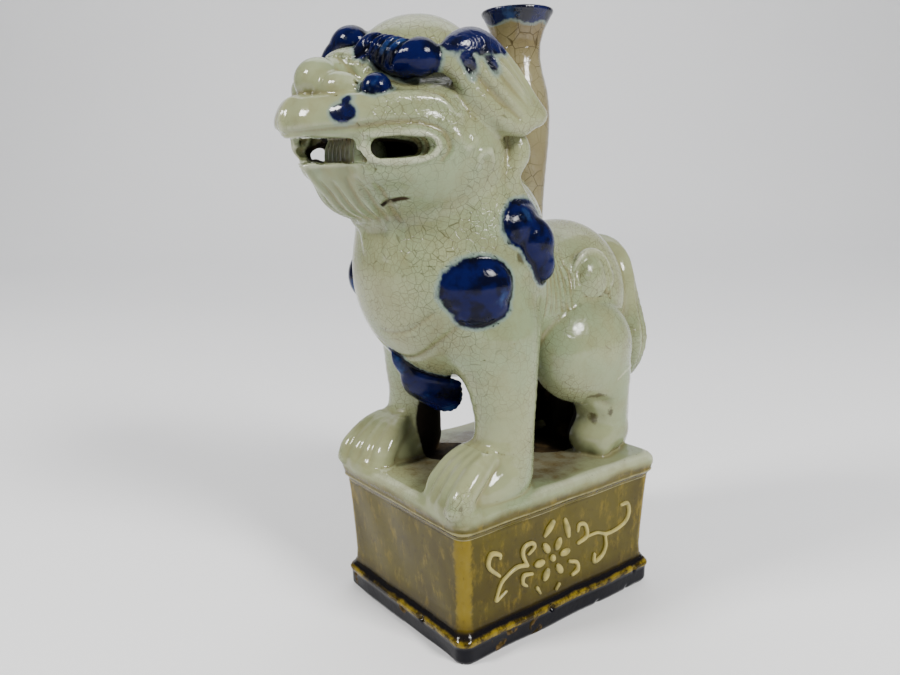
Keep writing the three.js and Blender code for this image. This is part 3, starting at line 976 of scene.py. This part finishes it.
def model_face_lines():
    """Folds and ridges that are pressed into the head itself."""
    for side in SIDES.values():
        fold = sided([(5, -70, 208), (11, -68, 202.5), (16, -69, 197), (20, -70.5, 191.5)], side)
        lion.groove(fold, [0.5, 1.0, 1.1, 0.5], 1.6)
        cheekbone = [(26, -66, 191), (29, -62.4, 192.8), (32, -57, 194), (34, -50, 192.6), (35.5, -44, 187)]
        lion.ridge(sided(cheekbone, side), [1.0, 1.9, 2.2, 2.0, 1.2], 3, 0.9)
        under_lip = [(0, -86, 183.6), (10, -84, 183.2), (20, -79, 182.9), (29, -71, 184),
                     (34.5, -59.5, 185.4), (37.5, -51, 183), (38, -48.4, 177.5), (37, -51, 173)]
        lion.groove(sided(under_lip, side), [0.7, 0.8, 0.9, 0.9, 0.9, 0.8, 0.4], 1.4)
        lion.ridge(slot_ring(side), [1.2, 1.3, 1.3, 1.2], 1.4, 0.2)
        lion.ridge(sided([(35, -37, 172), (37, -36.5, 175.5), (37, -32.5, 176.3), (37, -29.5, 172.5)], side),
                   [1.0, 1.8, 1.9, 1.0], 1.6, 0.5)
        lion.ridge(sided([(37, -45, 181), (38, -42, 178), (37, -39, 180)], side), [1.2, 1.8, 1.2], 2.4, 0.7)
        lion.groove(sided([(33, -52, 199), (35, -48, 197), (36, -45, 190)], side), [0.5, 1.0, 0.4], 2.0)
    for lock in range(5):
        top = (2.2 + lock * 4.8, -75 + lock * 2.2, 169.5)
        middle = (3.2 + lock * 4.2, -72 + lock * 2.4, 162.5)
        low = (2.0 + lock * 3.4, -62 + lock * 1.6, 155.5 - lock * 0.2)
        for side in SIDES.values():
            lion.groove(flank((top, middle, low), side), [0.2, 0.6, 1.2, 1.3], 1.5)
    lion.ridge([(0, -86, 195), (0, -88, 189.5), (0, -86, 185)], [0.7, 1.2, 0.9], 2.2, 0.4)
    lion.ridge([(0, -84, 174), (0, -82, 169), (0, -78, 162)], [0.9, 1.2, 0.7], 2.0, 0.5)


CHIN_CRACK = [(21, -67.5, 151), (24, -66, 153.4), (27, -63.5, 155.4), (30, -60, 157)]


def model_lion():
    model_trunk()
    for side in SIDES.values():
        model_foreleg(side)
        model_paw(side)
        model_hind_leg(side)
    lion.add(plinth_shape(WALL_TOP - 4, GROUND), 1.6)
    model_skull()
    model_muzzle()
    model_face_lines()
    for shape in mouth_shapes():
        lion.carve(shape, 0.8)
    lion.add(tongue_shape(), 0.2)
    lion.add(nose_shape(), 1.0)
    for side in SIDES.values():
        nostril = sided([(17.4, -70, 197.6), (17.2, -69.4, 194.4)], side)
        lion.carve(Rod(*nostril, 0.7, 0.7), 0.5)
        lion.add(eye_shape(side), 0.7)
        lion.add(brow_shape(side), 1.0)
        if side > 0:
            comb_left_brow()
        lion.add(mane_lock_shape(side), 2)
        lion.add(ear_shape(side), 2.4)
        comb_ear(side)
        lion.add(bell_shape(side), 0.8)
        lion.add(tuft_shape(side), 0.8)
    lion.groove(CHIN_CRACK, [0.3, 0.8, 0.7, 0.3], 0.5)
    lion.add(tassel_shape(), 0.8)
    lion.add(tail_shape(), 1.2)
    comb_tail()
    model_body_details()
    lion.wobble(0.25, 26, 5)


# ---- where each colour lies ----

def paint_lion():
    blue, unglazed_and_shaded, dusty, stain, melted = (PAINT[name] for name in ("blue", "unglazed_and_shaded", "dusty", "stain", "melted"))

    def spot(layer, place, radii):
        layer.append(Ball(lion.snapped([place])[0], radii))

    for side in SIDES.values():
        rise = 0 if side > 0 else 4.5
        blue.append(Grown(brow_shape(side), 0.6))
        blue.append(Grown(eye_shape(side), 0.5))
        for x, y, z in ((22, -62, 200.6), (28, -59, 201)):
            spot(blue, beside(side, x, y, z + rise), (1.5, 1.6, 2.0))
        blue.append(Ball(beside(side, 19.4, -68, 192.6), (1.8, 2, 1.8)))
        blue.append(Ball(beside(side, 20.4, -76.6, 188.4), (4.6, 4, 3)))
        blue.append(Ball(beside(side, 20.6, -75, 192), (1.6, 2.4, 1.8)))
        top = [(33, -43.5, 209), (34.5, -36, 210), (34, -28.5, 209)]
        blue.append(rope(sided(top, side), [4.4, 5.6, 4.4], 4))
        blue.append(Rod(*sided([(36, -41.5, 205), (38.4, -40, 199.6)], side), 2.4, 1.6))
        blue.append(Rod(*sided([(37, -33.5, 205), (39.6, -32, 201)], side), 2.0, 1.2))
        blue.append(Grown(bell_shape(side), 0.9))
        blue.append(Grown(tuft_shape(side), 1.2))
        spot(stain, across(side, (34, -18.6, 140.6)), (3, 2.2, 2.4))
        spot(stain, across(side, (36, 22, 81)), (3, 5, 1.2))
        spot(stain, across(side, (34, 31, 75)), (2, 1.2, 2.6))
        spot(stain, across(side, (32, 22, 72.5)), (2.4, 1.8, 2.4))
        stain.append(Ball(beside(side, 17.6, -70, 196), (1.2, 1.4, 2.2)))
        stain.append(Ball(beside(side, 36.4, -12, 188.4), (1.8, 0.9, 0.9)))
        stain.append(Ball(across(side, (36, -5, 96)), (3, 2.4, 7)))
        melted.append(Ball(across(side, (27, -36, 62)), (16, 20, 14)))
        melted.append(Ball(across(side, (22, 34, 62)), (13, 16, 12)))
        # painted shade over unglazed clay: the inner sides of the forelegs and the belly between them are
        # painted near-black
        unglazed_and_shaded.append(Ball(across(side, (14, -14, 70)), (13, 14, 22)))
    melted.append(Ball((0, -74, 192), (28, 14, 16)))
    melted.append(Ball((0, -76, 172), (24, 10, 10)))
    blue.append(Grown(tassel_shape(), 1.1))
    unglazed_and_shaded.append(rope(lion.snapped(CHIN_CRACK), [0.4, 0.9, 0.8, 0.3], 4))
    # painted shade over unglazed clay: the belly's underside, the inner sides of the hind legs and the plinth
    # top beneath the lion are painted near-black
    unglazed_and_shaded.append(Ball((0, 14, 80), (20, 44, 20)))
    unglazed_and_shaded.append(Ball((3, 30, 70), (17, 24, 26)))
    # painted shade over unglazed clay: the inside of the mouth behind the window and slots is painted
    # near-black
    unglazed_and_shaded.append(Ball((0, -58, 177.8), (27, 18, 6.5)))
    dusty.append(Ball((2, 0, 56), (36, 47, 3.4)))
    dusty.append(Ball((6, -66, 177), (14, 6, 8)))


# ---- the pieces of the lion ----

def cut_lion():
    studio = Studio(lion, "celadon_glaze")
    studio.reserve(Rod((0, 12, 140), (0, 12, 230), 9.8, 9.8))
    for name, side in SIDES.items():
        studio.piece(f"{name}_eye_ball", Grown(eye_shape(side), 1.0), [f"{name}_eye"], "cobalt_glaze")
    studio.piece("nose_lobes", Grown(nose_shape(), 1.2), ["nose"])
    for name, side in SIDES.items():
        studio.piece(f"{name}_brow_curl", Grown(brow_shape(side), 1.3), [f"{name}_brow"], "cobalt_glaze")
        studio.piece(f"{name}_ear_leaf", Grown(ear_shape(side), 1.3), [f"{name}_ear"])
        studio.piece(f"{name}_mane_strip", Grown(mane_lock_shape(side), 1.3), [f"{name}_mane_lock"])
        studio.piece(f"{name}_bell_dome", Grown(bell_shape(side), 1.2), [f"{name}_bell"], "cobalt_glaze")
        tuft = Grown(tuft_shape(side), 1.2)
        studio.piece(f"{name}_tuft_lobes", tuft, [f"{name}_mane_tuft"], "cobalt_glaze")
        studio.piece(f"{name}_curl_button", Grown(Melt(hip_curl_shape(side)), 1.2), [f"{name}_hip_curl"])
        bar = rope(sided([(21.5, -76.5, 182), (23.5, -74, 178), (24.5, -72, 174)], side), [5.0, 4.4, 4.6], 3)
        studio.piece(f"{name}_lip_bar", bar, [f"{name}_fang"])
    studio.piece("tassel_leaf", Grown(tassel_shape(), 1.2), ["chest_tassel"], "cobalt_glaze")
    studio.piece("tongue_block", Grown(tongue_shape(), 0.6), ["tongue"], unpainted=("unglazed_and_shaded",))
    studio.piece("tail_brush", Grown(tail_shape(), 1.3), ["tail"])
    ground = ((0, 0, GROUND + 0.6), (0, 0, -1))
    for name, side in SIDES.items():
        inner = ((side * 6, 0, 0), (-side, 0, 0))
        foot = Region([inner, ground, ((0, 0, 77), (0, 0.1, 1)), ((0, 12, 0), (0, -1, 0))])
        studio.piece(f"{name}_hind_paw", foot, [f"{name}_hind_foot"])
        shank = Rod(across(side, (23.5, 35, 86)), across(side, (22, 37, 72)), 14, 13)
        thigh = Melt([Grown(haunch_shape(side), 1.2), shank])
        studio.piece(f"{name}_thigh", thigh, [f"{name}_haunch"])
        front = ((0, 0, 0), (0, 1, 0))
        paw = Region([inner, ground, ((0, 0, 69), (0, 0.15, 1)), front])
        studio.piece(f"{name}_front_paw", paw, [f"{name}_forepaw"])
        leg = Region([inner, ((side * 14.4, 0, 91), (-side * 0.66, 0, 0.75)), front, ground])
        studio.piece(f"{name}_front_leg", leg, [f"{name}_foreleg"])
    jaw = Region([((0, -47, 178), (0, 0.894, 0.447)), ((0, 0, 177.8), (0, 0, 1)), ((0, 0, 140), (0, 0, -1))])
    studio.piece("jaw_and_chin", jaw, ["lower_jaw"])
    studio.piece("head_mask", Region([((0, 0, 157), (0, 0, -1))]), ["head"])
    studio.piece("body_shell", Region([ground]), ["torso"])
    studio.piece("plinth_cover", Region([((0, 0, WALL_TOP), (0, 0, -1))]), ["plinth_top"], "olive_glaze")
    bpy.data.objects["plinth_cover"].data.materials[0] = GLAZES["rim_glaze"]


# ---- the plinth ----

def build_walls():
    low, high = (-HALF_WIDTH - 2, -HALF_DEPTH - 2, -2), (HALF_WIDTH + 2, HALF_DEPTH + 2, WALL_TOP + 2)
    walls = Clay(low, high, WALL_VOXEL)
    walls.add(plinth_shape(0, WALL_TOP + 9))
    walls.wobble(0.3, 30, 8)
    hollow = (HALF_WIDTH - WALL_THICKNESS, HALF_DEPTH - WALL_THICKNESS)
    walls.carve(Slab(hollow, 1.5, -9, WALL_TOP + 9, [(-9, 0), (60, 0)]))
    rng = np.random.default_rng(3)
    for _ in range(16):
        along, side = rng.uniform(-1, 1), rng.choice([-1, 1])
        spot = (side * (HALF_WIDTH + 0.2), along * HALF_DEPTH, rng.choice([0.3, 7.6]))
        if rng.random() < 0.45:
            spot = (along * HALF_WIDTH, side * (HALF_DEPTH + 0.2), spot[2])
        walls.carve(Ball(spot, rng.uniform(0.9, 2.4, 3)), 0.5)
    walls.carve(Ball((HALF_WIDTH - 0.6, -HALF_DEPTH + 0.4, 0.5), (2.4, 2.0, 2.2)), 0.5)
    for x, y in ((1, 1), (1, -1), (-1, 1), (-1, -1)):
        corner = (x * (HALF_WIDTH - 3.4), y * (HALF_DEPTH - 3.4))
        PAINT["post"].append(Rod((*corner, 6), (*corner, WALL_TOP), 3.2, 3.2))
    studio = Studio(walls, "olive_glaze")
    bounds = [((0, 0, WALL_TOP), (0, 0, 1)), ((0, 0, 0), (0, 0, -1))]
    for name, side in (("front", -1), ("back", 1)):
        mitres = [((x * hollow[0], side * hollow[1], 0), (x, -side, 0)) for x in (-1, 1)]
        studio.piece(f"{name}_wall_face", Region(mitres + bounds), [f"plinth_{name}_wall"])
    for name, side in SIDES.items():
        half = Region([((0, 0, 0), (-side, 0, 0))] + bounds)
        studio.piece(f"{name}_wall_face", half, [f"plinth_{name}_wall"])


# strokes of slip along the long wall: places of (along, up), with a radius at each
SPRIG_LINES = [
    ([(-6.2, 42), (-8.2, 39.7), (-10.1, 37.4)], [1.0, 1.3, 0.7]),
    ([(0.1, 41), (1.5, 37.2), (2.4, 33.6)], [0.9, 1.3, 0.9]),
    ([(-18.4, 28.1), (-21, 33.4), (-20, 36.4), (-16.4, 36.5), (-15.3, 34.5), (-18, 32.6)],
     [0.7, 0.9, 0.9, 0.9, 0.8, 0.6]),
    ([(8.1, 28.8), (12.7, 30.4), (11.4, 35.5), (8, 36.6), (7.5, 34.1)], [0.8, 0.9, 0.9, 0.9, 0.7]),
    ([(12.7, 30), (18.6, 29.9), (24, 27.8), (29.5, 27.9), (35.1, 29.8), (36.9, 33.9), (35.4, 37.8), (32, 38)],
     [0.6, 0.7, 0.8, 0.8, 0.9, 1.0, 1.0, 0.8]),
    ([(23.4, 27.5), (24.2, 22.4), (21.8, 18.7), (17.7, 17.8), (17.6, 21)], [0.7, 0.8, 0.9, 1.0, 0.7]),
    ([(3.7, 22.4), (7.7, 20.7), (8.3, 17.4), (5.5, 16.2)], [0.8, 0.9, 1.0, 0.8]),
    ([(-1.8, 14.8), (-3.5, 13.2)], [0.8, 0.7]),
    ([(-13.2, 17.1), (-11.6, 14.4)], [0.8, 0.6]),
    ([(-18.4, 28.1), (-23, 29.2), (-27, 28.1), (-31, 25.4), (-33.5, 19.4)], [0.7, 0.9, 0.8, 0.8, 0.7]),
    ([(-28.6, 21.3), (-33, 19.2)], [0.6, 0.8]),
    ([(-32, 28.6), (-37.2, 33.9), (-36.2, 38.4), (-32.3, 37.1), (-31.9, 35.4)], [0.7, 0.9, 1.0, 0.9, 0.6]),
    ([(-18.5, 19.8), (-20.5, 21.7), (-20, 24.5), (-15.9, 23.9)], [0.6, 0.8, 0.9, 0.7]),
]
SPRIG_PETALS = [(-9, 32.1), (-2.9, 32), (1, 27.2), (-1.7, 21.2), (-8.6, 21), (-12.2, 26.8)]
SPRIG_CENTRE = (-5.5, 26.9)


def build_sprig(name, side):
    """A flower and its scrolls, trailed in slip on one long wall."""
    depth = HALF_WIDTH - 1.2
    block = Clay((side * depth - 5, -44, 9), (side * depth + 5, 44, 46), SPRIG_VOXEL)
    wall = plinth_shape(0, WALL_TOP + 9)

    def on_wall(y, z, lift=0.2):
        return (side * (HALF_WIDTH - float(wall.inset(z)) + lift), y, z)

    for line, radii in SPRIG_LINES:
        block.add(rope([on_wall(y, z) for y, z in line], radii, 4), 0.3)
    block.add(Ball(on_wall(*SPRIG_CENTRE), (1.3, 1.3, 1.5)))
    for y, z in SPRIG_PETALS:
        angle = math.degrees(math.atan2(z - SPRIG_CENTRE[1], y - SPRIG_CENTRE[0]))
        block.add(Ball(on_wall(y, z), (1.2, 2.7, 1.5), (angle, 0, 0)), 0.3)
    block.carve(Region([((side * (HALF_WIDTH - 4.4), 0, 0), (side, 0, 0))]))
    PAINT["slip"].append(Region([((0, 0, 60), (0, 0, 1))]))
    studio = Studio(block, "olive_glaze")
    studio.piece(f"{name}_trailed_flower", Region([((0, 0, 60), (0, 0, 1))]), [f"{name}_flower_sprig"])
    PAINT["slip"].clear()


# ---- the incense tube ----

TUBE_CENTRE = (0.0, 12.0)
TUBE_SEGMENTS = 112
# from the foot up the outside, over the lip and down the bore: places of (radius, height)
TUBE_PROFILE = [
    (9.6, 146), (9.8, 152), (10.2, 160), (11, 170), (12.1, 182), (12.4, 192), (11.6, 200),
    (10, 206), (8.9, 212), (9, 217), (10.4, 222), (12.4, 226), (13.3, 227.6), (13.2, 228.7),
    (12.2, 229), (11, 228.2), (8.6, 224), (6.6, 219), (5.6, 212), (5.4, 190), (5.2, 168),
]


def build_tube():
    """The thrown tube, a little uneven, with its blue lip."""
    profile = smooth_path(TUBE_PROFILE, 5)
    turns = np.arange(TUBE_SEGMENTS) * 2 * math.pi / TUBE_SEGMENTS
    radius, height = profile[:, 0][:, None], profile[:, 1][:, None]
    sway = 0.16 * np.sin(2 * turns + height * 0.05) + 0.1 * np.sin(3 * turns - height * 0.11)
    radius = radius + (sway + 0.05 * np.sin(height * 1.3))
    x = TUBE_CENTRE[0] + radius * np.cos(turns)
    y = TUBE_CENTRE[1] + radius * np.sin(turns)
    z = height + 0.25 * np.sin(turns + 1) * (height > 215) + 0 * turns
    rings = np.stack([x, y, z], axis=2).reshape(-1, 3)
    points = np.vstack([rings, [(*TUBE_CENTRE, profile[0, 1])], [(*TUBE_CENTRE, profile[-1, 1])]])
    steps = [(i, (i + 1) % TUBE_SEGMENTS) for i in range(TUBE_SEGMENTS)]
    last = len(rings) - TUBE_SEGMENTS
    faces = []
    for low in range(0, last, TUBE_SEGMENTS):
        high = low + TUBE_SEGMENTS
        faces += [(low + i, low + j, high + j, high + i) for i, j in steps]
    faces += [(len(rings), j, i) for i, j in steps]
    faces += [(len(rings) + 1, last + i, last + j) for i, j in steps]
    mesh = bpy.data.meshes.new("tube_body")
    mesh.from_pydata([tuple(point) for point in (points + SHIFT) / 1000], [], faces)
    mesh.shade_smooth()
    offset = points[:, :2] - TUBE_CENTRE
    lip = 225 + 0.8 * np.sin(5 * np.arctan2(offset[:, 1], offset[:, 0]))
    height = points[:, 2]
    blue = np.where(height > 222, height - lip + 1.2, -PAINT_REACH)
    inside = (np.hypot(*offset.T) < 8.6) & (height < 214)
    paint(mesh, "relief", np.where(height > 227.5, 0.2, 0.0))
    paint(mesh, "blue", np.clip(blue, -PAINT_REACH, PAINT_REACH))
    paint(mesh, "unglazed_and_shaded", np.where(inside, 2.0, -PAINT_REACH))
    for layer in ("dusty", "stain"):
        paint(mesh, layer, np.full(len(points), -PAINT_REACH))
    place_piece("tube_body", mesh, ["incense_tube"], "tube_glaze")


model_lion()
paint_lion()
cut_lion()
for layer in PAINT.values():
    layer.clear()
build_walls()
PAINT["post"].clear()
for label, sign in SIDES.items():
    build_sprig(label, sign)
build_tube()


# ---- floor, light and camera ----

CAMERA_TURN, CAMERA_TILT, CAMERA_ROLL = (math.radians(angle) for angle in (53.076, 11.722, -1.2555))
CAMERA_PLACE = (238.13, -201.87, 170.33)
CAMERA_SENSOR = 36
CAMERA_LENS = 31.92

WORLD_TINT = (0.9, 0.94, 1.0, 1)
WORLD_STRENGTH = 0.24
LION_MIDDLE = (0, 0, 0.12)
# each light's name, place, aim, size, power and tint
LIGHTS = [
    ("window_left", (-0.30, -1.1, 0.95), LION_MIDDLE, (0.34, 0.3), 19, (1, 0.98, 0.95)),
    ("window_right", (1.15, 0.15, 0.9), LION_MIDDLE, (0.4, 0.36), 27, (1, 0.99, 0.97)),
    ("ceiling", (-1.4, 1.1, 1.9), (-1.4, 1.1, 0), (2.4, 2.4), 40, (0.97, 0.98, 1)),
]

SWEEP_TURN = math.radians(53)  # the sweep's wall stands opposite the camera
SWEEP_PROFILE = [(-0.75, 0), (0.3, 0), (1.0, 0), (1.35, 0.06), (1.55, 0.3), (1.6, 0.7), (1.6, 2.0)]
SWEEP_HALF_WIDTH = 2.2
PAPER, PAPER_BRIGHT = colour(240, 240, 241), colour(245, 245, 246)


def added(name, data):
    made = bpy.data.objects.new(name, data)
    bpy.context.scene.collection.objects.link(made)
    return made


def place_camera():
    """The camera looks at the lion's left front, a little from above."""
    back = np.array([math.sin(CAMERA_TURN) * math.cos(CAMERA_TILT),
                     -math.cos(CAMERA_TURN) * math.cos(CAMERA_TILT), math.sin(CAMERA_TILT)])
    level = np.array([math.cos(CAMERA_TURN), math.sin(CAMERA_TURN), 0])
    upright = np.cross(back, level)
    right = level * math.cos(CAMERA_ROLL) + upright * math.sin(CAMERA_ROLL)
    up = upright * math.cos(CAMERA_ROLL) - level * math.sin(CAMERA_ROLL)
    data = bpy.data.cameras.new("camera")
    data.sensor_width = CAMERA_SENSOR
    data.lens = CAMERA_LENS
    data.clip_start = 0.01
    camera = added("camera", data)
    matrix = Matrix([right, up, back]).transposed().to_4x4()
    matrix.translation = Vector((np.array(CAMERA_PLACE) + SHIFT) / 1000)
    camera.matrix_world = matrix
    bpy.context.scene.camera = camera


def add_light(name, place, aim, size, power, tint):
    data = bpy.data.lights.new(name, "AREA")
    data.shape, data.size, data.size_y = "RECTANGLE", *size
    data.energy, data.color = power, tint
    light = added(name, data)
    light.location = place
    light.rotation_euler = (Vector(aim) - Vector(place)).to_track_quat("-Z", "Y").to_euler()


def build_sweep():
    """A paper sweep that curves up behind the lion."""
    away = np.array([-math.sin(SWEEP_TURN), math.cos(SWEEP_TURN), 0])
    along = np.array([math.cos(SWEEP_TURN), math.sin(SWEEP_TURN), 0])
    points, faces = [], []
    for distance, height in smooth_path(SWEEP_PROFILE, 6):
        for side in (-SWEEP_HALF_WIDTH, SWEEP_HALF_WIDTH):
            points.append(tuple(away * distance + along * side + (0, 0, height)))
    for row in range(0, len(points) - 2, 2):
        faces.append((row, row + 1, row + 3, row + 2))
    mesh = bpy.data.meshes.new("paper_sweep")
    mesh.from_pydata(points, [], faces)
    mesh.shade_smooth()
    nodes = Nodes("paper")
    nodes.put(nodes.shader.inputs["Base Color"], nodes.mix(nodes.noise(3.0, 2.0), PAPER, PAPER_BRIGHT))
    nodes.shader.inputs["Roughness"].default_value = 0.75
    mesh.materials.append(nodes.material)
    added("paper_sweep", mesh)


def light_world():
    world = bpy.data.worlds.new("studio")
    world.use_nodes = True
    background = world.node_tree.nodes["Background"].inputs
    background["Color"].default_value = WORLD_TINT
    background["Strength"].default_value = WORLD_STRENGTH
    bpy.context.scene.world = world


build_sweep()
light_world()
for light in LIGHTS:
    add_light(*light)
place_camera()
